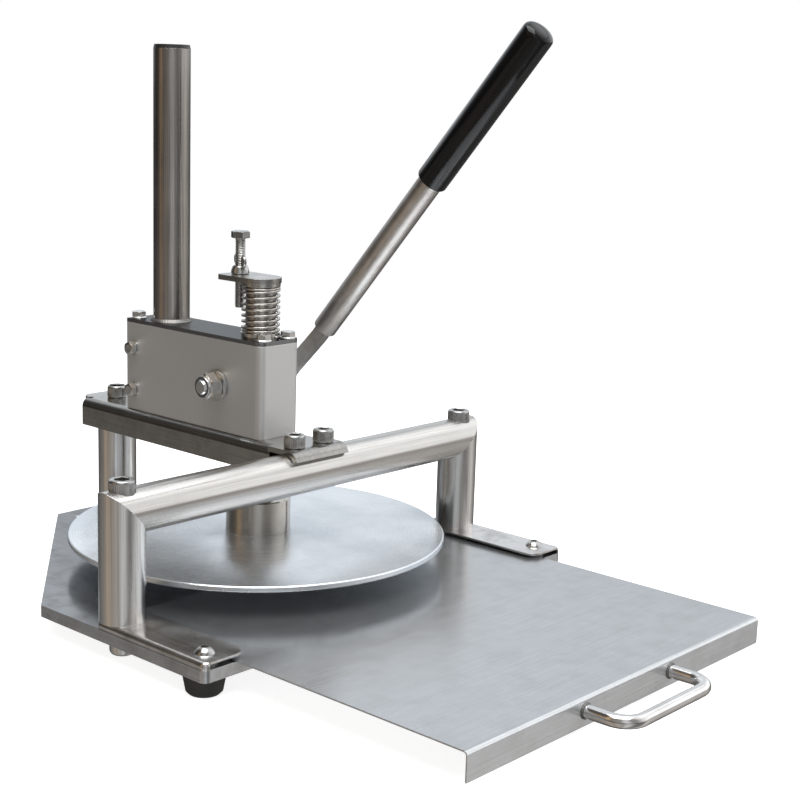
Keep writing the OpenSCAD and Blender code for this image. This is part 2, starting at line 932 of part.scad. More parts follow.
module disc_hub() {
    color(polished) translate([0, ram_y, disc_top]) difference() {
        rotate_extrude() polygon([
            [0, 0], [hub_d / 2, 0], [hub_d / 2, hub_h - disc_edge],
            [hub_d / 2 - disc_edge, hub_h], [0, hub_h]
        ]);
        translate([0, 0, -over]) cylinder(d = ram_d, h = hub_h + 2 * over);
    }
}

module disc_screw() {
    cone_h = (disc_screw_head - m8[thread]) / 2;
    color(polished) translate([0, ram_y, disc_under]) difference() {
        union() {
            cylinder(d1 = disc_screw_head, d2 = m8[thread], h = cone_h);
            cylinder(d = m8[thread], h = disc_t + disc_screw_len);
        }
        translate([0, 0, -over]) hexagon(m8[key], cone_h * key_depth_share + over);
    }
}

// Helical wire of the spring: rings of points around a climbing circle, with upright ends
spring_r = (spring_d - spring_wire) / 2;
curl_count = spring_curls * curl_rings;
climb = spring_len - 2 * spring_wire;
function wire_z(i) = spring_foot + spring_wire + climb * i / curl_count;
function wire_turn(i) = 360 * i / curl_rings;
function wire_at(i, z) = [spring_r * cos(wire_turn(i)), spring_r * sin(wire_turn(i)), z];
wire_path = concat(
    [wire_at(0, spring_foot)],
    [for (i = [0:curl_count]) wire_at(i, wire_z(i))],
    [wire_at(curl_count, spring_foot + spring_len)]
);
wire_last = len(wire_path) - 1;
function unit(v) = v / norm(v);
function wire_way(i) = unit(wire_path[min(i + 1, wire_last)] - wire_path[max(i - 1, 0)]);
function wire_out(i) = unit([wire_path[i].x, wire_path[i].y, 0]);
function wire_side(i) = unit(cross(wire_way(i), wire_out(i)));
wire_points = [
    for (i = [0:wire_last], s = [0:wire_sides - 1])
        wire_path[i] + spring_wire / 2 * (cos(360 * s / wire_sides) * unit(cross(wire_side(i), wire_way(i)))
            + sin(360 * s / wire_sides) * wire_side(i))
];
function wire_corner(i, s) = i * wire_sides + s % wire_sides;
wire_faces = concat(
    [for (s = [1:wire_sides - 2]) [wire_corner(0, 0), wire_corner(0, s), wire_corner(0, s + 1)]],
    [for (s = [1:wire_sides - 2])
        [wire_corner(wire_last, 0), wire_corner(wire_last, s + 1), wire_corner(wire_last, s)]],
    [for (i = [0:wire_last - 1], s = [0:wire_sides - 1], half = [0, 1]) half == 0
        ? [wire_corner(i, s), wire_corner(i + 1, s), wire_corner(i, s + 1)]
        : [wire_corner(i, s + 1), wire_corner(i + 1, s), wire_corner(i + 1, s + 1)]]
);
// Least gap between one curl and the next, measured between points of the wire's middle
near_rings = curl_rings - 2;
wire_gap = min([for (i = [0:wire_last - near_rings], j = [i + near_rings:wire_last])
    norm(wire_path[i] - wire_path[j])]) - spring_wire;
echo(least_gap_of_spring = wire_gap);

module return_spring() {
    color(polished) translate([0, ram_y, 0]) polyhedron(points = wire_points, faces = wire_faces);
}

module spring_cup() {
    color(steel) translate([0, ram_y, cup_z]) ring(collar_seat_d, ram_d, cup_t);
}

// Plan of the cap plate: a half-round front about the ram and small rounds at the rear
module plate_plan() {
    half = plate_w / 2;
    circle(r = half);
    translate([-half, 0]) square([plate_w, plate_back - plate_round]);
    translate([plate_round - half, 0]) square([plate_w - 2 * plate_round, plate_back]);
    on_sides(half - plate_round) translate([0, plate_back - plate_round]) circle(r = plate_round);
}

module cap_plate() {
    color(steel) difference() {
        translate([0, ram_y, plate_z]) linear_extrude(plate_t) difference() {
            plate_plan();
            circle(d = spigot_d);
        }
        translate([0, stop_y, plate_z - over]) cylinder(d = m8[thread] + 2 * run, h = plate_t + 2 * over);
    }
}

module stop_bolt() {
    color(polished) translate([0, stop_y, stop_head_z]) hex_bolt(m8, stop_len);
}

// Wing nut: a tapered body and two upright ears
module wing_nut() {
    color(polished) translate([0, stop_y, plate_z + plate_t + gap]) rotate([0, 0, wing_turn]) difference() {
        union() {
            cylinder(d1 = nut_base_d, d2 = nut_base_d - wing_t, h = nut_base_h);
            for (side = [-1, 1]) hull() {
                translate([side * wing_x, 0, wing_z]) rotate([90, 0, 0])
                    cylinder(d = wing_d, h = wing_t, center = true, $fn = 32);
                translate([side * nut_base_d / 3, 0, nut_base_h / 2]) rotate([90, 0, 0])
                    cylinder(d = nut_base_h, h = wing_t, center = true, $fn = 32);
            }
        }
        translate([0, 0, -over]) cylinder(d = m8[thread] + 2 * run, h = wing_z + wing_d + over);
    }
}

// Side view of the tray: a flat sheet with its front edge bent down, its top at Y = 0
module tray_section() {
    difference() {
        union() {
            translate([tray_bend, -tray_t]) square([tray_len - tray_bend, tray_t]);
            translate([0, -tray_flange]) square([tray_t, tray_flange - tray_bend]);
            intersection() {
                translate([tray_bend, -tray_bend]) circle(r = tray_bend);
                translate([0, -tray_bend]) square(tray_bend);
            }
        }
        translate([tray_bend, -tray_bend]) circle(r = tray_bend - tray_t);
    }
}

module tray() {
    color(polished) translate([tray_x, tray_front, tray_top]) rotate([90, 0, -90]) mirror([1, 0, 0])
        linear_extrude(2 * tray_x) tray_section();
}

// Bent-rod handle: two legs, two bends and a bar
module tray_handle() {
    leg_x = handle_gap / 2;
    bar = handle_gap - 2 * handle_bend;
    color(polished) translate([0, 0, handle_z]) {
        on_sides(leg_x) translate([0, handle_y + handle_bend, 0]) rotate([-90, 0, 0])
            cylinder(d = handle_d, h = handle_reach - handle_bend);
        translate([0, handle_y, 0]) xcyl(handle_d, bar);
        for (side = [0, 1]) mirror([side, 0, 0]) translate([leg_x - handle_bend, handle_y + handle_bend, 0])
            rotate([0, 0, -90]) rotate_extrude(angle = 90) translate([handle_bend, 0]) circle(d = handle_d);
    }
}

place() base_pan();
place() left_rail();
place() right_rail();
place() rail_spacers();
place() rubber_feet();
place() front_foot_bolts();
place() front_foot_nuts();
place() rear_foot_screws();
place() left_post();
place() right_post();
place() crossbar();
place() corner_plugs();
place() portal_screws();
place() portal_nuts();
place() rear_post();
place() rear_post_screw();
place() rear_post_nut();
place() channel_beam();
place() crossbar_insert();
place() saddle_screws();
place() head_housing();
place() rear_block();
place() side_bolts();
place() side_washers();
place() housing_screws();
place() head_lid();
place() lid_bolts();
place() column();
place() column_cap();
place() upper_bush();
place() lower_bush();
place() lever_shaft();
place() shaft_washer();
place() shaft_nut();
place() shaft_nut_insert();
place() crank_arm();
place() lever_bar();
place() lever_tube();
place() lever_grip();
place() ram();
place() press_disc();
place() disc_hub();
place() disc_screw();
place() return_spring();
place() spring_cup();
place() cap_plate();
place() stop_bolt();
place() wing_nut();
place() tray();
place() tray_handle();
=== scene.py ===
import math

import bmesh
import bpy
from mathutils import Matrix, Vector


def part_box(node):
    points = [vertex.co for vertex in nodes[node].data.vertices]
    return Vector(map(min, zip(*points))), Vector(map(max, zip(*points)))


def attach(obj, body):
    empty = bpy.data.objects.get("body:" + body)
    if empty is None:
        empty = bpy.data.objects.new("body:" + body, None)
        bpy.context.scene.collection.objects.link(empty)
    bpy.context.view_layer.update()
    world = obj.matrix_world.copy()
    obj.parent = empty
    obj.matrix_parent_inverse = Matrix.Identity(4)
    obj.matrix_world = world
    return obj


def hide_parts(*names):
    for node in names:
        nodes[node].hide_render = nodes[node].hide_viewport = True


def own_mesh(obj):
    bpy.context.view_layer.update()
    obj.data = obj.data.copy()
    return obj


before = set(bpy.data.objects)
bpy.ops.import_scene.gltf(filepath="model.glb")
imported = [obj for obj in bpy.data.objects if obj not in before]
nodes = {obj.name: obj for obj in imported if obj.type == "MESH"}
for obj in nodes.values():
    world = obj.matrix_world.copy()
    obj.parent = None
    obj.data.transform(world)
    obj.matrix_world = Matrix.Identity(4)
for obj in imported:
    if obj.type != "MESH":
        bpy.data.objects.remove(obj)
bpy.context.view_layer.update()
MM = 0.001
TAU = 2 * math.pi


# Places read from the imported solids

def middle(node):
    low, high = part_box(node)
    return (low + high) / 2


def reach(node):
    low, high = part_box(node)
    return high - low


RAM = middle("ram")
COLUMN = middle("column")
LID_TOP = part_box("head_lid")[1].z
SPRING_LOW, SPRING_HIGH = (corner.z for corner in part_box("return_spring"))
SPRING_OUT = reach("return_spring").x / 2
PIVOT = middle("shaft_washer")
LEVER_FOOT = Vector((middle("lever_tube").x, PIVOT.y, PIVOT.z))
LEVER_LEAN = math.radians(41)

# Turns that carry a piece made upright onto its own axis
ALONG_LEFT = Matrix.Rotation(math.radians(-90), 3, "Y")
ALONG_RIGHT = Matrix.Rotation(math.radians(90), 3, "Y")
TOWARDS_TRAY = Matrix.Rotation(math.radians(90), 3, "X")
UP_LEVER = Matrix.Rotation(LEVER_LEAN, 3, "X")


# Mesh helpers

SMOOTH_UNDER = math.radians(35)


def mesh_piece(name, part, body, material):
    verts, faces = part
    data = bpy.data.meshes.new(name)
    data.from_pydata([tuple(v) for v in verts], [], faces)
    data.update()
    piece = bpy.data.objects.new(name, data)
    bpy.context.scene.collection.objects.link(piece)
    solid = bmesh.new()
    solid.from_mesh(data)
    bmesh.ops.recalc_face_normals(solid, faces=solid.faces)
    for face in solid.faces:
        face.smooth = True
    for edge in solid.edges:
        edge.smooth = len(edge.link_faces) == 2 and edge.calc_face_angle(0) < SMOOTH_UNDER
    solid.to_mesh(data)
    solid.free()
    data.materials.append(material)
    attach(piece, body)
    return piece


def at_angle(value, angle):
    return value(angle) if callable(value) else value


def lathe(profile, sides, closed=False):
    """Rings of (radius, height) turned round Z. Either may change with the angle round the axis,
    a radius of zero is one point, and a closed profile runs back from its last ring to its first."""
    verts, faces, rings = [], [], []
    for radius, height in profile:
        if radius == 0:
            rings.append([len(verts)])
            verts.append(Vector((0, 0, height)))
            continue
        rings.append(list(range(len(verts), len(verts) + sides)))
        for k in range(sides):
            angle = TAU * k / sides
            out = at_angle(radius, angle)
            verts.append(Vector((out * math.cos(angle), out * math.sin(angle), at_angle(height, angle))))
    pairs = list(zip(rings, rings[1:]))
    if closed:
        pairs.append((rings[-1], rings[0]))
    for low, high in pairs:
        for k in range(sides):
            n = (k + 1) % sides
            if len(low) == 1:
                faces.append((low[0], high[n], high[k]))
            elif len(high) == 1:
                faces.append((low[k], low[n], high[0]))
            else:
                faces.append((low[k], low[n], high[n], high[k]))
    return verts, faces


def join(parts):
    verts, faces = [], []
    for part_verts, part_faces in parts:
        start = len(verts)
        verts += part_verts
        faces += [tuple(start + i for i in face) for face in part_faces]
    return verts, faces


def placed(part, at, turn=None):
    verts, faces = part
    turn = turn or Matrix.Identity(3)
    return [turn @ v + Vector(at) for v in verts], faces


def wire(path, radius, sides, loop=False):
    """Round wire along points. Its radius may change from point to point, and a loop has no ends."""
    count = len(path)
    ways = []
    for i in range(count):
        if loop:
            ways.append((path[(i + 1) % count] - path[i - 1]).normalized())
        else:
            ways.append((path[min(i + 1, count - 1)] - path[max(i - 1, 0)]).normalized())
    verts, faces = [], []
    side = ways[0].orthogonal().normalized()
    for i, point in enumerate(path):
        if i:
            side = ways[i - 1].rotation_difference(ways[i]) @ side
            side = (side - ways[i] * side.dot(ways[i])).normalized()
        other = ways[i].cross(side)
        thick = at_angle(radius, i)
        verts += [point + thick * (math.cos(TAU * k / sides) * side + math.sin(TAU * k / sides) * other)
                  for k in range(sides)]
    shift = 0
    if loop:
        gaps = [(verts[(count - 1) * sides] - verts[k]).length for k in range(sides)]
        shift = gaps.index(min(gaps))
    for i in range(count if loop else count - 1):
        last = i == count - 1
        for k in range(sides):
            n = (k + 1) % sides
            if last:
                faces.append((i * sides + k, i * sides + n, (n + shift) % sides, (k + shift) % sides))
            else:
                faces.append((i * sides + k, i * sides + n, (i + 1) * sides + n, (i + 1) * sides + k))
    if not loop:
        faces.append(tuple(range(sides)))
        faces.append(tuple(range((count - 1) * sides, count * sides)))
    return verts, faces


def weld_bead(path, bead, per_ripple, ripple_share):
    """Rippled bead along a closed path."""
    sides = 10

    def thick(i):
        return bead * (1 + ripple_share * math.cos(TAU * i / per_ripple))
    return wire(path, thick, sides, loop=True)


def weld_ring(radius, bead, ripples):
    """Rippled bead round Z."""
    per_ripple, ripple_share = 6, 0.16
    count = ripples * per_ripple
    path = [Vector((radius * math.cos(TAU * i / count), radius * math.sin(TAU * i / count), 0))
            for i in range(count)]
    return weld_bead(path, bead, per_ripple, ripple_share)


# Shader groups and materials

FLOAT, VECTOR, COLOR = "NodeSocketFloat", "NodeSocketVector", "NodeSocketColor"
SURFACE = [("Color", COLOR), ("Roughness", FLOAT), ("Height", FLOAT)]
DARK_GREY, MID_GREY, PALE_GREY = ((level, level, level, 1) for level in (0.4, 0.6, 0.8))


def new_group(name, inputs, outputs):
    tree = bpy.data.node_groups.new(name, "ShaderNodeTree")
    for label, kind, value in inputs:
        socket = tree.interface.new_socket(name=label, in_out="INPUT", socket_type=kind)
        socket.default_value = value
    for label, kind in outputs:
        tree.interface.new_socket(name=label, in_out="OUTPUT", socket_type=kind)
    return tree, tree.nodes.new("NodeGroupInput"), tree.nodes.new("NodeGroupOutput")


def feed(tree, socket, value):
    """Links a socket to another node's output, or sets it to a plain value."""
    if hasattr(value, "default_value"):
        tree.links.new(value, socket)
    elif isinstance(value, tuple) and len(value) == 3 and len(socket.default_value) == 4:
        socket.default_value = (*value, 1)
    else:
        socket.default_value = value


def surface_place(tree):
    return tree.nodes.new("ShaderNodeTexCoord").outputs["Object"]


def vector_math(tree, operation, first, second=None):
    node = tree.nodes.new("ShaderNodeVectorMath")
    node.operation = operation
    feed(tree, node.inputs[0], first)
    if second is not None:
        feed(tree, node.inputs[1], second)
    return node.outputs["Value"] if operation == "LENGTH" else node.outputs["Vector"]


def noise(tree, vector, scale, detail=3.0, rough=0.55):
    node = tree.nodes.new("ShaderNodeTexNoise")
    feed(tree, node.inputs["Vector"], vector)
    feed(tree, node.inputs["Scale"], scale)
    feed(tree, node.inputs["Detail"], detail)
    feed(tree, node.inputs["Roughness"], rough)
    return node.outputs["Fac"]


def math_node(tree, operation, first, second):
    node = tree.nodes.new("ShaderNodeMath")
    node.operation = operation
    feed(tree, node.inputs[0], first)
    feed(tree, node.inputs[1], second)
    return node.outputs[0]


def spread(tree, value, low, high, start=0.3, end=0.7):
    node = tree.nodes.new("ShaderNodeMapRange")
    feed(tree, node.inputs["Value"], value)
    feed(tree, node.inputs["From Min"], start)
    feed(tree, node.inputs["From Max"], end)
    feed(tree, node.inputs["To Min"], low)
    feed(tree, node.inputs["To Max"], high)
    return node.outputs["Result"]


def tone(tree, mask, dark, light):
    node = tree.nodes.new("ShaderNodeMix")
    node.data_type = "RGBA"
    feed(tree, node.inputs["Factor"], mask)
    feed(tree, next(s for s in node.inputs if s.identifier == "A_Color"), dark)
    feed(tree, next(s for s in node.inputs if s.identifier == "B_Color"), light)
    return next(s for s in node.outputs if s.identifier == "Result_Color")


def filmed(tree, clean, patches, amount, film):
    """Colour under a patchy film. The patches say where it lies, the amount how thick it is, and the film
    how much of each colour it lets through."""
    covered = vector_math(tree, "MULTIPLY", clean, film)
    return tone(tree, math_node(tree, "MULTIPLY", patches, amount), clean, covered)


def smeared(tree, rough, marks, amount):
    """Roughness with dull smears where the marks are strong."""
    smear = math_node(tree, "MULTIPLY", spread(tree, marks, 0.0, 1.0, 0.45, 0.7), amount)
    return math_node(tree, "ADD", rough, smear)


def make_brushed():
    """Long fine scratches, faint smears and warm stains from handling. The stretch says how fast the
    grain changes along each axis."""
    tree, given, out = new_group(
        "brushed_grain",
        [("Stretch", VECTOR, (1, 1, 1)), ("Dark", COLOR, MID_GREY), ("Light", COLOR, PALE_GREY),
         ("Smooth", FLOAT, 0.2), ("Rough", FLOAT, 0.4), ("Smear", FLOAT, 0.08), ("Stain", FLOAT, 0.0)],
        SURFACE)
    smears_per_m, stains_per_m, warm_film = 26.0, 48.0, (0.5, 0.47, 0.43)
    place = surface_place(tree)
    grain = noise(tree, vector_math(tree, "MULTIPLY", place, given.outputs["Stretch"]), 1.0, 4.0, 0.6)
    smears = noise(tree, place, smears_per_m, 4.0)
    stains = spread(tree, noise(tree, place, stains_per_m, 6.0, 0.65), 0.0, 1.0, 0.44, 0.7)
    clean = tone(tree, spread(tree, grain, 0.0, 1.0), given.outputs["Dark"], given.outputs["Light"])
    rough = spread(tree, grain, given.outputs["Smooth"], given.outputs["Rough"])
    feed(tree, out.inputs["Color"], filmed(tree, clean, stains, given.outputs["Stain"], warm_film))
    feed(tree, out.inputs["Roughness"], smeared(tree, rough, smears, given.outputs["Smear"]))
    feed(tree, out.inputs["Height"], grain)
    return tree


def make_turned():
    """Fine rings round an upright axis, as a lathe leaves them, under soft cool clouds."""
    tree, given, out = new_group(
        "turned_rings",
        [("Axis Place", VECTOR, (0, 0, 0)), ("Rings", FLOAT, 900.0), ("Dark", COLOR, MID_GREY),
         ("Light", COLOR, PALE_GREY), ("Smooth", FLOAT, 0.2), ("Rough", FLOAT, 0.35), ("Cloud", FLOAT, 0.0)],
        SURFACE)
    smears_per_m, clouds_per_m, smear, cool_film = 18.0, 13.0, 0.06, (0.56, 0.6, 0.65)
    place = surface_place(tree)
    from_axis = vector_math(tree, "SUBTRACT", place, given.outputs["Axis Place"])
    radius = vector_math(tree, "LENGTH", vector_math(tree, "MULTIPLY", from_axis, (1.0, 1.0, 0.0)))
    rings = tree.nodes.new("ShaderNodeTexNoise")
    rings.noise_dimensions = "1D"
    feed(tree, rings.inputs["Scale"], 1.0)
    feed(tree, rings.inputs["Detail"], 3.0)
    feed(tree, rings.inputs["W"], math_node(tree, "MULTIPLY", radius, given.outputs["Rings"]))
    grooves = rings.outputs["Fac"]
    smears = noise(tree, place, smears_per_m, 4.0)
    clouds = spread(tree, noise(tree, place, clouds_per_m, 4.0), 0.0, 1.0, 0.42, 0.62)
    clean = tone(tree, spread(tree, grooves, 0.0, 1.0), given.outputs["Dark"], given.outputs["Light"])
    rough = spread(tree, grooves, given.outputs["Smooth"], given.outputs["Rough"])
    feed(tree, out.inputs["Color"], filmed(tree, clean, clouds, given.outputs["Cloud"], cool_film))
    feed(tree, out.inputs["Roughness"], smeared(tree, rough, smears, smear))
    feed(tree, out.inputs["Height"], grooves)
    return tree


def make_grit():
    """Even fine grain over soft clouds, for blasted metal, rubber and moulded plastic."""
    tree, given, out = new_group(
        "fine_grit",
        [("Scale", FLOAT, 1800.0), ("Dark", COLOR, DARK_GREY), ("Light", COLOR, MID_GREY),
         ("Smooth", FLOAT, 0.4), ("Rough", FLOAT, 0.6)],
        SURFACE)
    clouds_per_m, half = 22.0, 0.5
    place = surface_place(tree)
    grit = noise(tree, place, given.outputs["Scale"], 2.0)
    clouds = noise(tree, place, clouds_per_m, 4.0)
    fine, soft = (math_node(tree, "MULTIPLY", part, half) for part in (grit, clouds))
    mixed = math_node(tree, "ADD", fine, soft)
    feed(tree, out.inputs["Color"], tone(tree, mixed, given.outputs["Dark"], given.outputs["Light"]))
    feed(tree, out.inputs["Roughness"], spread(tree, mixed, given.outputs["Smooth"], given.outputs["Rough"]))
    feed(tree, out.inputs["Height"], grit)
    return tree


BRUSHED, TURNED, GRIT = make_brushed(), make_turned(), make_grit()
RELIEF_DEPTH = 0.5 * MM
EDGE_SAMPLES = 4
QUARTER_TURN = 0.25


def finish(name, group, values, metal=1.0, bump=0.02, anisotropic=0.0, glance=1.0, edge=0.4,
           round_axis=None, cross=False):
    """Material of one finish; edge is the soft edge in mm that its corners catch the light with,
    and glance the share of light that it mirrors at a flat angle. A finish turned or polished round
    an axis smears its gloss along the rings, or across them."""
    material = bpy.data.materials.new(name)
    material.use_nodes = True
    tree = material.node_tree
    shader = tree.nodes["Principled BSDF"]
    shader.inputs["Metallic"].default_value = metal
    shader.inputs["Anisotropic"].default_value = anisotropic
    shader.inputs["Specular Tint"].default_value = (glance, glance, glance, 1)
    effect = tree.nodes.new("ShaderNodeGroup")
    effect.node_tree = group
    for label, value in values.items():
        feed(tree, effect.inputs[label], value)
    tree.links.new(effect.outputs["Color"], shader.inputs["Base Color"])
    tree.links.new(effect.outputs["Roughness"], shader.inputs["Roughness"])
    relief = tree.nodes.new("ShaderNodeBump")
    relief.inputs["Strength"].default_value = bump
    relief.inputs["Distance"].default_value = RELIEF_DEPTH
    tree.links.new(effect.outputs["Height"], relief.inputs["Height"])
    if edge:
        soft_edge = tree.nodes.new("ShaderNodeBevel")
        soft_edge.samples = EDGE_SAMPLES
        soft_edge.inputs["Radius"].default_value = edge * MM
        tree.links.new(soft_edge.outputs["Normal"], relief.inputs["Normal"])
    tree.links.new(relief.outputs["Normal"], shader.inputs["Normal"])
    if round_axis:
        tangent = tree.nodes.new("ShaderNodeTangent")
        tangent.direction_type = "RADIAL"
        tangent.axis = round_axis
        shader.inputs["Anisotropic Rotation"].default_value = QUARTER_TURN if cross else 0.0
        tree.links.new(tangent.outputs["Tangent"], shader.inputs["Tangent"])
    return material


def steel(name, stretch, dark, light, smooth, rough, smear=0.05, stain=0.0, **more):
    """Brushed steel: how its grain runs, its darkest and lightest colour, its least and most roughness."""
    values = {"Stretch": stretch, "Dark": dark, "Light": light, "Smooth": smooth, "Rough": rough,
              "Smear": smear, "Stain": stain}
    return finish(name, BRUSHED, values, **more)


def turned(name, rings, dark, light, smooth, rough, cloud=0.0, **more):
    """Steel turned round the ram's axis: rings to a metre, then as for brushed steel."""
    values = {"Axis Place": (RAM.x, RAM.y, 0.0), "Rings": rings, "Dark": dark, "Light": light,
              "Smooth": smooth, "Rough": rough, "Cloud": cloud}
    return finish(name, TURNED, values, **more)


def gritty(name, scale, dark, light, smooth, rough, **more):
    """Blasted or moulded surface: grains to a metre, then as for brushed steel."""
    values = {"Scale": scale, "Dark": dark, "Light": light, "Smooth": smooth, "Rough": rough}
    return finish(name, GRIT, values, **more)


# Changes of the grain to a metre along X, Y and Z: brushed one way, or even all round
LONG, FINE = 10.0, 900.0
UPRIGHT, ACROSS, LENGTHWISE = (FINE, FINE, LONG), (LONG, FINE, FINE), (FINE, LONG, FINE)
UP_THE_LEVER = (FINE, 50.0, 50.0)
ROD, PLATE, BOLT, COIL, BEAD = ((rate, rate, rate) for rate in (40.0, 60.0, 90.0, 200.0, 300.0))
POLISHED_ROUND = {"anisotropic": 0.9, "cross": True}

tube_upright = steel("tube_upright", UPRIGHT, (0.56, 0.55, 0.535), (0.76, 0.75, 0.735), 0.16, 0.23,
                     round_axis="Z", **POLISHED_ROUND)
column_steel = steel("column_steel", UPRIGHT, (0.33, 0.306, 0.288), (0.49, 0.458, 0.436), 0.14, 0.2,
                     round_axis="Z", **POLISHED_ROUND)
tube_across = steel("tube_across", ACROSS, (0.5, 0.485, 0.465), (0.66, 0.645, 0.625), 0.18, 0.26,
                    round_axis="X", **POLISHED_ROUND)
ram_steel = steel("ram_steel", UPRIGHT, (0.36, 0.34, 0.32), (0.48, 0.46, 0.44), 0.14, 0.22)
beam_sheet = steel("beam_sheet", LENGTHWISE, (0.29, 0.285, 0.27), (0.39, 0.38, 0.365), 0.14, 0.22, stain=0.4)
lid_sheet = steel("lid_sheet", LENGTHWISE, (0.24, 0.245, 0.255), (0.3, 0.305, 0.315), 0.18, 0.26, glance=0.4)
plate_steel = steel("plate_steel", PLATE, (0.38, 0.375, 0.365), (0.5, 0.495, 0.485), 0.2, 0.3,
                    edge=0.6, stain=0.5)
rail_sheet = steel("rail_sheet", LENGTHWISE, (0.58, 0.57, 0.56), (0.78, 0.77, 0.76), 0.16, 0.24, stain=0.75)
base_sheet = steel("base_sheet", LENGTHWISE, (0.44, 0.45, 0.465), (0.52, 0.53, 0.545), 0.14, 0.2,
                   smear=0.03, bump=0.004, metal=0.95, glance=0.4, stain=0.5)
tray_sheet = steel("tray_sheet", ACROSS, (0.53, 0.545, 0.56), (0.61, 0.625, 0.64), 0.18, 0.24,
                   smear=0.04, bump=0.004, metal=0.92, glance=0.75, stain=0.16)
handle_rod = steel("handle_rod", ROD, (0.64, 0.63, 0.62), (0.8, 0.79, 0.78), 0.1, 0.16, bump=0.0)
lever_steel = steel("lever_steel", UP_THE_LEVER, (0.44, 0.425, 0.405), (0.6, 0.58, 0.56), 0.34, 0.42,
                    glance=0.6, stain=0.4)
bolt_steel = steel("bolt_steel", BOLT, (0.56, 0.56, 0.555), (0.7, 0.7, 0.69), 0.14, 0.22,
                   bump=0.01, edge=0.2)
knurled_steel = steel("knurled_steel", BOLT, (0.36, 0.36, 0.355), (0.48, 0.48, 0.47), 0.2, 0.3,
                      bump=0.01, edge=0)
spring_steel = steel("spring_steel", COIL, (0.42, 0.395, 0.37), (0.56, 0.53, 0.5), 0.14, 0.22,
                     bump=0.0, edge=0)
stop_steel = steel("stop_steel", BOLT, (0.36, 0.36, 0.355), (0.46, 0.46, 0.45), 0.12, 0.2,
                   bump=0.01, edge=0.2)
weld_steel = steel("weld_steel", BEAD, (0.17, 0.165, 0.16), (0.27, 0.26, 0.25), 0.36, 0.5,
                   smear=0.1, bump=0.05, edge=0, glance=0.5)
disc_steel = turned("disc_steel", 2600.0, (0.68, 0.71, 0.74), (0.82, 0.845, 0.87), 0.21, 0.31,
                    cloud=0.42, bump=0.015, anisotropic=0.75, round_axis="Z", edge=0.5, metal=0.94)
hub_steel = turned("hub_steel", 1600.0, (0.34, 0.315, 0.28), (0.48, 0.45, 0.405), 0.08, 0.13)
bush_steel = turned("bush_steel", 1600.0, (0.54, 0.52, 0.49), (0.74, 0.72, 0.68), 0.1, 0.16)
blasted_box = gritty("blasted_box", 2200.0, (0.47, 0.465, 0.455), (0.54, 0.535, 0.525), 0.32, 0.42,
                     metal=0.75, bump=0.06, edge=0.8)
black_grip = gritty("black_grip", 1500.0, (0.002, 0.002, 0.0022), (0.005, 0.005, 0.0054), 0.05, 0.1,
                    metal=0.0, bump=0.006, edge=0, glance=0.45)
black_cap = gritty("black_cap", 1500.0, (0.006, 0.006, 0.006), (0.014, 0.014, 0.014), 0.35, 0.5,
                   metal=0.0, bump=0.05)
foot_rubber = gritty("foot_rubber", 900.0, (0.006, 0.006, 0.006), (0.018, 0.0175, 0.017), 0.45, 0.65,
                     metal=0.0, bump=0.1, edge=0)
nylon_ring = gritty("nylon_ring", 1200.0, (0.03, 0.03, 0.032), (0.06, 0.06, 0.065), 0.4, 0.6,
                    metal=0.0, bump=0.05)

FINISHES = {
    tube_upright: ["left_post", "right_post", "rear_post"],
    column_steel: ["column"],
    ram_steel: ["ram"],
    tube_across: ["crossbar", "corner_plugs", "crossbar_insert"],
    beam_sheet: ["channel_beam", "rear_block"],
    lid_sheet: ["head_lid"],
    plate_steel: ["cap_plate"],
    rail_sheet: ["left_rail", "right_rail", "rail_spacers"],
    base_sheet: ["base_pan"],
    tray_sheet: ["tray"],
    handle_rod: ["tray_handle"],
    lever_steel: ["lever_bar", "lever_tube", "crank_arm"],
    disc_steel: ["press_disc"],
    hub_steel: ["disc_hub"],
    bush_steel: ["upper_bush", "lower_bush", "spring_cup"],
    blasted_box: ["head_housing"],
    black_grip: ["lever_grip"],
    black_cap: ["column_cap"],
    foot_rubber: ["rubber_feet"],
    nylon_ring: ["shaft_nut_insert"],
    spring_steel: ["return_spring"],
    bolt_steel: ["front_foot_nuts", "rear_foot_screws", "portal_screws", "portal_nuts", "rear_post_screw",
                 "rear_post_nut", "saddle_screws", "side_bolts", "side_washers", "housing_screws",
                 "lid_bolts", "lever_shaft", "shaft_washer", "shaft_nut", "disc_screw"],
    stop_steel: ["stop_bolt", "wing_nut", "front_foot_bolts"],
}
for material, members in FINISHES.items():
    for member in members:
        data = nodes[member].data
        data.materials.clear()
        data.materials.append(material)


# Screws, bolts and nuts with knurls, chamfers and threads. Lengths in their profiles are in mm.

KNURLS_PER_MM, KNURL_DEPTH = 2.25, 0.22
# Depth as a share of a thread's pitch, and radii as shares of a hexagon's width
THREAD_DEPTH = 0.45
HEX_SEAT, HEX_CROWN, HEX_DISH = 0.45, 0.47, 0.3
HEX_CHAMFER = math.tan(math.radians(30))
HEX_SIDES, THREAD_SIDES = 72, 48


def in_metres(profile):
    def scaled(value):
        if callable(value):
            return lambda angle: value(angle) * MM
        return value * MM
    return [(scaled(radius), scaled(height)) for radius, height in profile]


def hexagon(across):
    return lambda angle: across / 2 / math.cos(angle % (math.pi / 3) - math.pi / 6)


def crowned(across, low, rise):
    """Height of a hexagon's upper edge under its round chamfer; a negative rise chamfers the lower edge."""
    edge, crown = hexagon(across), across * HEX_CROWN
    return lambda angle: low + rise - math.copysign((edge(angle) - crown) * HEX_CHAMFER, rise)


def thread_rows(radius, pitch, start, end):
    """Rings of a screw thread that climbs from one height to another."""
    depth, per_turn = pitch * THREAD_DEPTH, 6
    count = max(2, round((end - start) / pitch * per_turn))

    def row(height):
        return lambda angle: radius - depth * abs(2 * ((height / pitch - angle / TAU) % 1) - 1)
    heights = [start + (end - start) * i / count for i in range(count + 1)]
    return [(row(height), height) for height in heights]


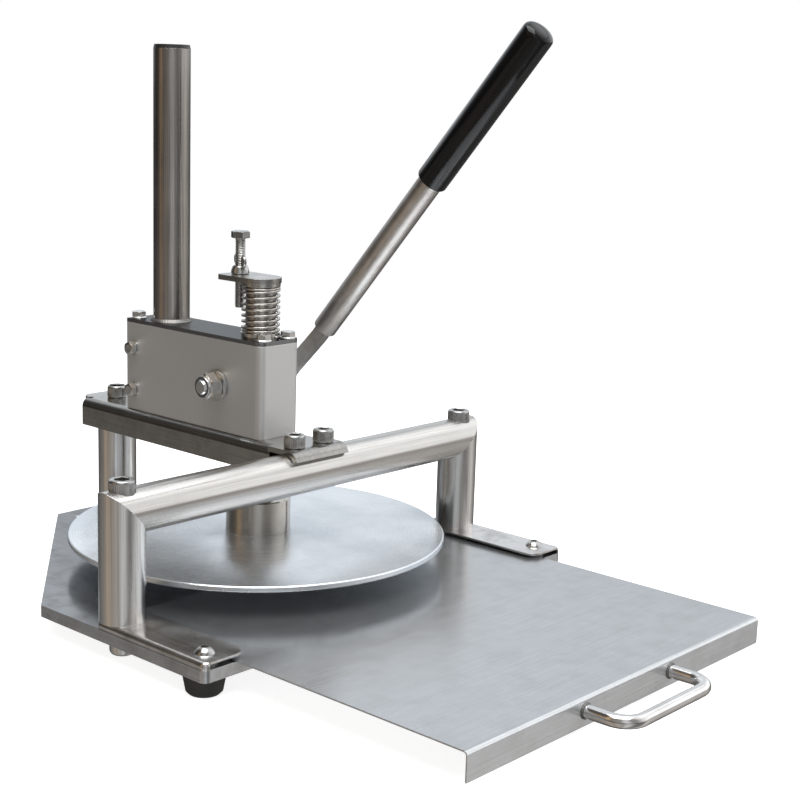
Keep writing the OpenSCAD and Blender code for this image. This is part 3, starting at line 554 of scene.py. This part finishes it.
def shank(thread_d, length, chamfer):
    """Plain shank under a head, with a chamfered end."""
    radius = thread_d / 2
    return [(0, -length), (radius - chamfer, -length), (radius, chamfer - length), (radius, 0)]


def hex_head(across, tall, dish):
    """Chamfered hexagon head with a shallow dish in its top, seated at zero."""
    edge, seat = hexagon(across), across * HEX_SEAT
    return [(seat, 0), (seat, 0.3), (edge, 0.3), (edge, crowned(across, 0, tall)),
            (across * HEX_CROWN, tall), (across * HEX_DISH, tall), (0, tall - dish)]


def socket_screw(head_d, tall, key, thread_d, length):
    """Cap screw with a knurled head, seated at zero."""
    rim, knurls = head_d / 2, round(head_d * KNURLS_PER_MM)
    key_edge, key_mouth = hexagon(key), hexagon(key + 0.6)

    def knurl(angle):
        return rim - KNURL_DEPTH * (1 - math.cos(angle * knurls))
    head = [(rim - 0.6, 0), (rim - 0.1, 0.5), (rim - 0.1, 0.9), (knurl, 1.3), (knurl, tall - 2.2),
            (rim - 0.1, tall - 1.8), (rim - 0.3, tall - 0.9), (rim - 0.8, tall - 0.25), (rim - 1.5, tall)]
    socket = [(key_mouth, tall), (key_edge, tall - 0.4), (key_edge, tall * 0.5), (0, tall * 0.45)]
    # A multiple of six, which keeps the corners of the key's socket sharp
    sides = knurls * 4 // 6 * 6
    return lathe(in_metres(shank(thread_d, length, 0.8) + head + socket), sides)


def hex_bolt(across, tall, thread_d, length):
    return lathe(in_metres(shank(thread_d, length, 0.6) + hex_head(across, tall, 0.15)), HEX_SIDES)


def flanged_bolt(across, flange_d, flange_t, tall, thread_d, length):
    edge, rim, top = hexagon(across), flange_d / 2, flange_t + tall

    def within_rim(past, room):
        return lambda angle: min(edge(angle) + past, rim - room)
    flange = [(rim - 0.2, 0), (rim, 0.25), (rim, 0.7), (within_rim(0.1, 0.02), flange_t),
              (within_rim(0, 0.1), flange_t + 0.1)]
    head = [(edge, crowned(across, flange_t, tall)), (across * HEX_CROWN, top), (across * HEX_DISH, top),
            (0, top - 0.3)]
    return lathe(in_metres(shank(thread_d, length, 0.5) + flange + head), HEX_SIDES)


def fastener(name, parts, node, body="frame", material=bolt_steel):
    piece = mesh_piece(name, join(parts), body, material)
    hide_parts(node)


# Head across, head height, key across and thread of the cap screws
CAP_SCREWS = {
    "portal_screws": (18, 12, 10, 12),
    "saddle_screws": (16, 10, 8, 10),
    "rear_post_screw": (16, 10, 8, 10),
}


def make_cap_screws():
    for node, (head_d, tall, key, thread_d) in CAP_SCREWS.items():
        low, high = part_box(node)
        seat, rim = high.z - tall * MM, head_d / 2 * MM
        across = {round(low.x + rim, 6), round(high.x - rim, 6)}
        screw = socket_screw(head_d, tall, key, thread_d, (seat - low.z) / MM)
        parts = [placed(screw, (x, middle(node).y, seat)) for x in sorted(across)]
        fastener(node + "_knurled", parts, node, material=knurled_steel)


def make_side_bolts():
    across, tall, thread_d, grip = 10, 5, 6, 14
    low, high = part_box("side_bolts")
    washer_t = (reach("side_washers").x - reach("head_housing").x) / 2
    corner = across / 2 / math.cos(math.pi / 6) * MM
    bolt = hex_bolt(across, tall, thread_d, grip + washer_t / MM)
    face = high.x - tall * MM
    parts = []
    for z in (low.z + corner, high.z - corner):
        parts.append(placed(bolt, (-face, middle("side_bolts").y, z), ALONG_LEFT))
        parts.append(placed(bolt, (face, middle("side_bolts").y, z), ALONG_RIGHT))
    fastener("side_bolts_chamfered", parts, "side_bolts")


def make_lid_bolts():
    across, flange_d, flange_t, thread_d, solid_flange_d = 10, 12.6, 1.4, 5, 11.6
    low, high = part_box("lid_bolts")
    rim = solid_flange_d / 2 * MM
    front_x, rear_x = 12.5 * MM, high.x - rim
    tall, length = (high.z - LID_TOP) / MM - flange_t, (LID_TOP - low.z) / MM
    bolt = flanged_bolt(across, flange_d, flange_t, tall, thread_d, length)
    parts = []
    for side in (-1, 1):
        parts.append(placed(bolt, (side * front_x, low.y + rim, LID_TOP)))
        parts.append(placed(bolt, (side * rear_x, high.y - rim, LID_TOP)))
    fastener("lid_bolts_flanged", parts, "lid_bolts")


def make_stop_bolt():
    across, tall, radius, pitch = 13, 5.5, 4, 1.25
    length = reach("stop_bolt").z / MM - tall
    profile = [(0, -length), (radius - 0.9, -length)] + thread_rows(radius, pitch, 0.8 - length, -1.2)
    profile += [(radius - 0.3, -0.8), (radius, 0)] + hex_head(across, tall, 0.2)
    at = (middle("stop_bolt").x, middle("stop_bolt").y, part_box("stop_bolt")[1].z - tall * MM)
    bolt = placed(lathe(in_metres(profile), THREAD_SIDES), at)
    fastener("stop_bolt_threaded", [bolt], "stop_bolt", body="stop_bolt", material=stop_steel)


def slab(outline, thick):
    """Flat piece with its outline in the XZ plane, with its rim rounded over."""
    centre = sum(outline, Vector((0, 0))) / len(outline)
    layers = [(-0.5, 0.84), (-0.42, 0.93), (-0.25, 1.0), (0.25, 1.0), (0.42, 0.93), (0.5, 0.84)]
    verts, faces, count = [], [], len(outline)
    for place, share in layers:
        for point in outline:
            flat = centre + (point - centre) * share
            verts.append(Vector((flat.x, place * thick, flat.y)))
    for layer in range(len(layers) - 1):
        low, high = layer * count, (layer + 1) * count
        for k in range(count):
            n = (k + 1) % count
            faces.append((low + k, low + n, high + n, high + k))
    last = (len(layers) - 1) * count
    faces += [tuple(range(count)), tuple(range(last, last + count))]
    return verts, faces


def make_wing_nut():
    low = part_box("wing_nut")[0]
    bore, foot, crown, tall = 4.05, 7.0, 5.7, 6.0
    body = lathe(in_metres([
        (bore + 0.5, 0), (foot - 0.4, 0), (foot, 0.5), (foot - 0.2, 2.2), (crown + 0.3, tall - 0.9),
        (crown - 0.5, tall), (bore + 0.5, tall), (bore, tall - 0.5), (bore, 0.5)]), THREAD_SIDES, closed=True)
    ear_x, ear_z, ear_r, ear_t, turns = 9.0, 10.0, 4.4, 2.6, 18
    first, sweep, lean = -62, 232, math.radians(64)
    outline = [Vector((4.4, 1.2)), Vector((6.6, 2.6))]
    for k in range(turns + 1):
        angle = math.radians(first + sweep * k / turns)
        outline.append(Vector((ear_x + ear_r * math.cos(angle), ear_z + ear_r * math.sin(angle))))
    outline += [Vector((5.4, 6.8)), Vector((4.6, 5.2))]
    ear = slab([point * MM for point in outline], ear_t * MM)
    at = (middle("wing_nut").x, middle("wing_nut").y, low.z)
    parts = [placed(body, at)]
    parts += [placed(ear, at, Matrix.Rotation(lean + half, 3, "Z")) for half in (0, math.pi)]
    fastener("wing_nut_rounded", parts, "wing_nut", body="wing_nut", material=stop_steel)


def make_shaft_nut():
    across, tall, collar, bore, ring_bore = 18, 10, 3, 6.0, 7.8
    edge, end = hexagon(across), tall + collar
    nut = lathe(in_metres([
        (bore, 0), (across * 0.46, 0), (edge, crowned(across, tall, -tall)), (edge, tall - 0.3),
        (across * 0.475, tall + 0.2), (across * 0.47, end - 0.9), (across * 0.455, end - 0.2),
        (ring_bore + 0.05, end), (ring_bore, end - 0.4), (ring_bore, tall),
        (bore, tall)]), HEX_SIDES, closed=True)
    at = (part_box("shaft_nut")[1].x, PIVOT.y, PIVOT.z)
    fastener("shaft_nut_chamfered", [placed(nut, at, ALONG_LEFT)], "shaft_nut", body="lever")


def make_lever_shaft():
    low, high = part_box("lever_shaft")
    thin, thick, pitch, thread_end, bevel = 6.0, 8.5, 1.75, 18.0, 0.5
    length = (high.x - low.x) / MM
    step = (-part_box("rear_block")[1].x + 0.5 * MM - low.x) / MM
    profile = [(0, 0), (thin - 1.2, 0)] + thread_rows(thin, pitch, 1.0, thread_end)
    profile += [(thin, thread_end + 0.6), (thin, step), (thick - bevel, step), (thick, step + bevel),
                (thick, length - bevel), (thick - bevel, length), (0, length)]
    shaft = placed(lathe(in_metres(profile), THREAD_SIDES), (low.x, PIVOT.y, PIVOT.z), ALONG_RIGHT)
    fastener("lever_shaft_threaded", [shaft], "lever_shaft", body="lever")


make_cap_screws()
make_side_bolts()
make_lid_bolts()
make_stop_bolt()
make_wing_nut()
make_shaft_nut()
make_lever_shaft()


# Rear end of the beam: its web runs on past the flanges as a tongue with rounded corners

def make_beam_tongue():
    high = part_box("channel_beam")[1]
    half, corner, thick, turns = 18.5 * MM, 9 * MM, 4 * MM, 10
    past, lap, below = 11 * MM, 0.5 * MM, 0.02 * MM
    start, end, top = high.y - lap, high.y + past, high.z - below
    outline = [(-half, start), (half, start)]
    for side, first in ((1, 0), (-1, 90)):
        for k in range(turns + 1):
            angle = math.radians(first + 90 * k / turns)
            x = side * (half - corner) + corner * math.cos(angle)
            outline.append((x, end - corner + corner * math.sin(angle)))
    count = len(outline)
    verts = [Vector((x, y, z)) for z in (top - thick, top) for x, y in outline]
    faces = [tuple(reversed(range(count))), tuple(range(count, 2 * count))]
    faces += [(k, (k + 1) % count, count + (k + 1) % count, count + k) for k in range(count)]
    mesh_piece("beam_rear_tongue", (verts, faces), "frame", beam_sheet)


make_beam_tongue()


# Welds

def make_column_weld():
    ripples, per_ripple, depth = 44, 4, 0.12
    inner, foot, tall = 14.4, 16.8, 2.3

    def rippled(radius):
        return lambda angle: radius + depth * math.cos(angle * ripples)
    profile = [(inner, 0), (foot, 0), (rippled(16.4), 0.6), (rippled(15.5), 1.4), (14.65, tall),
               (inner, tall)]
    fillet = lathe(in_metres(profile), ripples * per_ripple, closed=True)
    part = placed(fillet, (COLUMN.x, COLUMN.y, LID_TOP))
    mesh_piece("column_weld", part, "frame", weld_steel)


def make_handle_welds():
    bead, ripples, proud, back = 0.7 * MM, 20, 0.2 * MM, 0.3 * MM
    low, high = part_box("tray_handle")
    rod = reach("tray_handle").z / 2
    ring = weld_ring(rod + proud, bead, ripples)
    legs = [placed(ring, (x, high.y - back, middle("tray_handle").z), TOWARDS_TRAY)
            for x in (low.x + rod, high.x - rod)]
    mesh_piece("handle_welds", join(legs), "tray", weld_steel)


def make_lever_weld():
    up, half_w, half_t = 55 * MM, 6 * MM, 3 * MM
    bead, proud, step, sunk = 0.9 * MM, 0.7 * MM, 0.6 * MM, 0.2 * MM
    turns, per_ripple, ripple_share = 5, 5, 0.14
    corners = ((half_t, half_w, 0), (-half_t, half_w, 90), (-half_t, -half_w, 180), (half_t, -half_w, 270))
    bends = []
    for x, y, first in corners:
        for k in range(turns + 1):
            angle = math.radians(first + 90 * k / turns)
            bends.append(Vector((x + proud * math.cos(angle), y + proud * math.sin(angle), 0)))
    path = []
    for point, following in zip(bends, bends[1:] + bends[:1]):
        steps = max(1, round((following - point).length / step))
        path += [point.lerp(following, k / steps) for k in range(steps)]
    at = LEVER_FOOT + UP_LEVER @ Vector((0, 0, up - sunk))
    part = placed(weld_bead(path, bead, per_ripple, ripple_share), at, UP_LEVER)
    mesh_piece("lever_weld", part, "lever", weld_steel)


make_column_weld()
make_handle_welds()
make_lever_weld()


# Grip: dipped plastic with a glossy domed end

def make_grip():
    low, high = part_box("lever_grip")
    radius, bore = reach("lever_grip").x / 2, reach("lever_tube").x / 2
    solid_rounding = 0.4 * radius
    up, out = math.cos(LEVER_LEAN), math.sin(LEVER_LEAN)
    start = (low.z - PIVOT.z + radius * out) / up
    end = (high.z - PIVOT.z - (radius - solid_rounding) * out - solid_rounding) / up + solid_rounding
    lip, crown, power, rings, sides = 1.2 * MM, 6 * MM, 2.8, 16, 72
    profile = [(0, end - radius), (bore, end - radius), (bore, start + lip), (bore + lip / 2, start),
               (radius - lip, start), (radius - lip * 0.3, start + lip * 0.3), (radius, start + lip)]
    for k in range(rings):
        angle = math.pi / 2 * k / rings
        ring_r = radius * math.cos(angle) ** (2 / power)
        profile.append((ring_r, end - crown + crown * math.sin(angle) ** (2 / power)))
    profile.append((0, end))
    part = placed(lathe(profile, sides), LEVER_FOOT, UP_LEVER)
    piece = mesh_piece("lever_grip_dipped", part, "lever", black_grip)
    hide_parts("lever_grip")


make_grip()


# Return spring: a round wound wire with closed end curls, built at one fixed length

def make_spring():
    wire_r, curls, per_curl, sides = 0.98 * MM, 9, 36, 14
    winding_r = SPRING_OUT - wire_r
    low, high = SPRING_LOW + wire_r, SPRING_HIGH - wire_r
    pitch = wire_r * 2.1
    end_rise = pitch * 0.5
    count, closed = curls * per_curl, per_curl
    path = []
    for i in range(count + 1):
        if i < closed:
            height = low + end_rise * i / closed
        elif i > count - closed:
            height = high - end_rise * (count - i) / closed
        else:
            height = low + end_rise + (high - low - pitch) * (i - closed) / (count - 2 * closed)
        angle = TAU * i / per_curl
        x, y = RAM.x + winding_r * math.cos(angle), RAM.y + winding_r * math.sin(angle)
        path.append(Vector((x, y, height)))
    piece = mesh_piece("wound_spring", wire(path, wire_r, sides), "frame", spring_steel)
    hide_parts("return_spring")
    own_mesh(piece)


make_spring()


# Stage, light and camera

def add_floor():
    sides, far, glow, fade_from, fade_to = 96, 1.6, 0.85, 0.6, 1.5
    ring = [(far * math.cos(TAU * k / sides), far * math.sin(TAU * k / sides), 0) for k in range(sides)]
    data = bpy.data.meshes.new("floor")
    data.from_pydata(ring, [], [tuple(range(sides))])
    floor = bpy.data.objects.new("floor", data)
    bpy.context.scene.collection.objects.link(floor)
    floor.visible_glossy = False
    paint = bpy.data.materials.new("floor_paint")
    paint.use_nodes = True
    tree = paint.node_tree
    shader = tree.nodes["Principled BSDF"]
    shader.inputs["Base Color"].default_value = (0.5, 0.5, 0.5, 1)
    shader.inputs["Roughness"].default_value = 0.9
    shader.inputs["Specular IOR Level"].default_value = 0.0
    shader.inputs["Emission Color"].default_value = (1, 1, 1, 1)
    shader.inputs["Emission Strength"].default_value = glow
    from_middle = vector_math(tree, "LENGTH", surface_place(tree))
    tree.links.new(spread(tree, from_middle, 1.0, 0.0, fade_from, fade_to), shader.inputs["Alpha"])
    data.materials.append(paint)


# Angle, brightness and warmth of the room's panels. The angle is counted from the camera's side,
# with left turns up.
FLOOR_PANELS = [
    (-180, 0.12, 0.0), (-150, 0.14, 0.03), (-125, 0.3, 0.05), (-100, 0.66, 0.04), (-84, 0.6, 0.04),
    (-70, 0.22, 0.03), (-46, 0.2, 0.03), (-34, 0.34, 0.0), (-20, 0.7, 0.0), (-6, 0.66, 0.0),
    (6, 0.4, 0.04), (24, 0.48, 0.08), (42, 0.34, 0.12), (58, 0.44, 0.18), (68, 0.42, 0.18),
    (82, 0.3, 0.1), (100, 0.26, 0.06), (128, 0.14, 0.02), (180, 0.12, 0.0)]
LOW_PANELS = [
    (-180, 0.1, 0.0), (-150, 0.12, 0.0), (-128, 0.2, 0.04), (-114, 0.4, 0.04), (-104, 0.5, 0.04),
    (-86, 0.5, 0.04), (-74, 0.3, 0.02), (-60, 0.18, 0.0), (-40, 0.15, 0.0), (-30, 0.3, 0.0),
    (-18, 0.42, 0.0), (-4, 0.3, 0.0), (6, 0.15, 0.04), (24, 0.16, 0.07), (42, 0.11, 0.1),
    (52, 0.08, 0.14), (62, 0.17, 0.32), (70, 0.145, 0.3), (80, 0.07, 0.14), (92, 0.045, 0.06),
    (110, 0.03, 0.02), (150, 0.04, 0.0), (180, 0.1, 0.0)]
HIGH_PANELS = [
    (-180, 0.95, -0.05), (-166, 0.84, -0.05), (-150, 1.3, -0.03), (-125, 1.6, -0.01), (-104, 1.5, -0.01),
    (-80, 1.25, 0.0), (-62, 0.75, 0.0), (-46, 0.36, 0.02), (-26, 0.36, 0.02), (-12, 0.85, -0.02),
    (2, 0.8, -0.02), (16, 0.36, 0.03), (36, 0.3, 0.08), (52, 0.26, 0.12), (61, 0.46, 0.38),
    (70, 0.46, 0.44), (79, 0.1, 0.2), (100, 0.06, 0.02), (118, 0.2, 0.0), (138, 0.95, -0.05),
    (158, 1.15, -0.05), (180, 0.95, -0.05)]
ZENITH, SEAM = (1.05, 1.06, 1.08), (0.1, 0.1, 0.105)

# Heights over which one kind of panel gives way to the next, from -1 straight down to 1 straight up
FLOOR_TO_LOW, LOW_TO_HIGH, HIGH_TO_ZENITH = (-0.24, -0.1), (0.0, 0.1), (0.82, 0.97)
INTO_SEAM, OUT_OF_SEAM = (0.5, 0.53), (0.55, 0.58)
SEAM_SHARE = 0.5
CAMERA_SIDE = math.radians(-138.31)


def panel_ramp(tree, turn, panels):
    ramp = tree.nodes.new("ShaderNodeValToRGB")
    stops = ramp.color_ramp.elements
    ordered = sorted(((180 - angle) / 360, level, warm) for angle, level, warm in panels)
    while len(stops) < len(ordered):
        stops.new(0.5)
    for stop, (place, level, warm) in zip(stops, ordered):
        stop.position = place
        stop.color = (level * (1 + warm), level, level * (1 - warm), 1)
    feed(tree, ramp.inputs["Fac"], turn)
    return ramp.outputs["Color"]


def add_world():
    """White for the camera, and for light and mirrors a room of panels: floor, low and high ones, with a
    dark seam among the high ones and a pale zenith."""
    world = bpy.data.worlds.new("studio")
    bpy.context.scene.world = world
    world.use_nodes = True
    tree = world.node_tree
    tree.nodes.clear()
    out = tree.nodes.new("ShaderNodeOutputWorld")
    pick = tree.nodes.new("ShaderNodeMixShader")
    seen = tree.nodes.new("ShaderNodeBackground")
    seen.inputs["Color"].default_value = (1, 1, 1, 1)
    room = tree.nodes.new("ShaderNodeBackground")
    around = tree.nodes.new("ShaderNodeTexCoord").outputs["Generated"]
    turned_back = tree.nodes.new("ShaderNodeVectorRotate")
    turned_back.rotation_type = "Z_AXIS"
    turned_back.inputs["Angle"].default_value = -CAMERA_SIDE
    tree.links.new(around, turned_back.inputs["Vector"])
    split = tree.nodes.new("ShaderNodeSeparateXYZ")
    tree.links.new(turned_back.outputs["Vector"], split.inputs[0])
    angle = math_node(tree, "ARCTAN2", split.outputs["Y"], split.outputs["X"])
    turn = spread(tree, angle, 0.0, 1.0, -math.pi, math.pi)

    def rising(band, most=1.0):
        return spread(tree, split.outputs["Z"], 0.0, most, *band)
    floor, low, high = (panel_ramp(tree, turn, panels) for panels in (FLOOR_PANELS, LOW_PANELS, HIGH_PANELS))
    under = tone(tree, rising(FLOOR_TO_LOW), floor, low)
    over = tone(tree, rising(HIGH_TO_ZENITH), high, ZENITH)
    seam = tone(tree, rising(INTO_SEAM, SEAM_SHARE), over, SEAM)
    lamps = tone(tree, rising(OUT_OF_SEAM), seam, over)
    feed(tree, room.inputs["Color"], tone(tree, rising(LOW_TO_HIGH), under, lamps))
    tree.links.new(tree.nodes.new("ShaderNodeLightPath").outputs["Is Camera Ray"], pick.inputs["Fac"])
    tree.links.new(room.outputs[0], pick.inputs[1])
    tree.links.new(seen.outputs[0], pick.inputs[2])
    tree.links.new(pick.outputs[0], out.inputs["Surface"])


def add_light(name, at, aim, size, power, mirrored=True, tint=(1, 1, 1)):
    data = bpy.data.lights.new(name, "AREA")
    data.shape = "RECTANGLE"
    data.size, data.size_y = size
    data.energy = power
    data.color = tint
    lamp = bpy.data.objects.new(name, data)
    bpy.context.scene.collection.objects.link(lamp)
    lamp.location = at
    lamp.rotation_euler = (Vector(aim) - Vector(at)).to_track_quat("-Z", "Y").to_euler()
    lamp.visible_glossy = mirrored


def add_camera():
    azimuth, pitch, roll = (math.radians(a) for a in (-48.31, 11.49, 1.83))
    at, focal_pixels, photo_width, sensor_mm = (-0.78997, -0.75631, 0.38504), 1538.08, 800, 36.0
    level = math.cos(pitch)
    back = Vector((math.sin(azimuth) * level, -math.cos(azimuth) * level, math.sin(pitch)))
    right = (-back).cross(Vector((0, 0, 1))).normalized()
    up = right.cross(-back)
    tilted = right * math.cos(roll) + up * math.sin(roll)
    raised = -right * math.sin(roll) + up * math.cos(roll)
    data = bpy.data.cameras.new("photo_camera")
    data.sensor_width = sensor_mm
    data.lens = focal_pixels * sensor_mm / photo_width
    data.clip_end = 100
    camera = bpy.data.objects.new("photo_camera", data)
    bpy.context.scene.collection.objects.link(camera)
    place = Matrix((tilted, raised, back)).transposed().to_4x4()
    place.translation = Vector(at)
    camera.matrix_world = place
    bpy.context.scene.camera = camera


add_floor()
add_world()
add_light("key_panel", (1.75, -1.1, 1.35), (0, 0, 0.12), (1.6, 0.9), 20, mirrored=False)
add_light("front_panel", (0.8, -1.8, 0.5), (0, 0, 0.15), (0.9, 0.6), 34, mirrored=False, tint=(0.93, 0.97, 1))
add_light("top_panel", (-0.3, -0.2, 2.2), (0, 0, 0.1), (1.8, 1.8), 44)
add_light("rear_panel", (0.6, 1.8, 1.5), (0, 0.1, 0.1), (1.6, 0.8), 14, mirrored=False)
add_camera()
bpy.context.scene.view_settings.view_transform = "Standard"
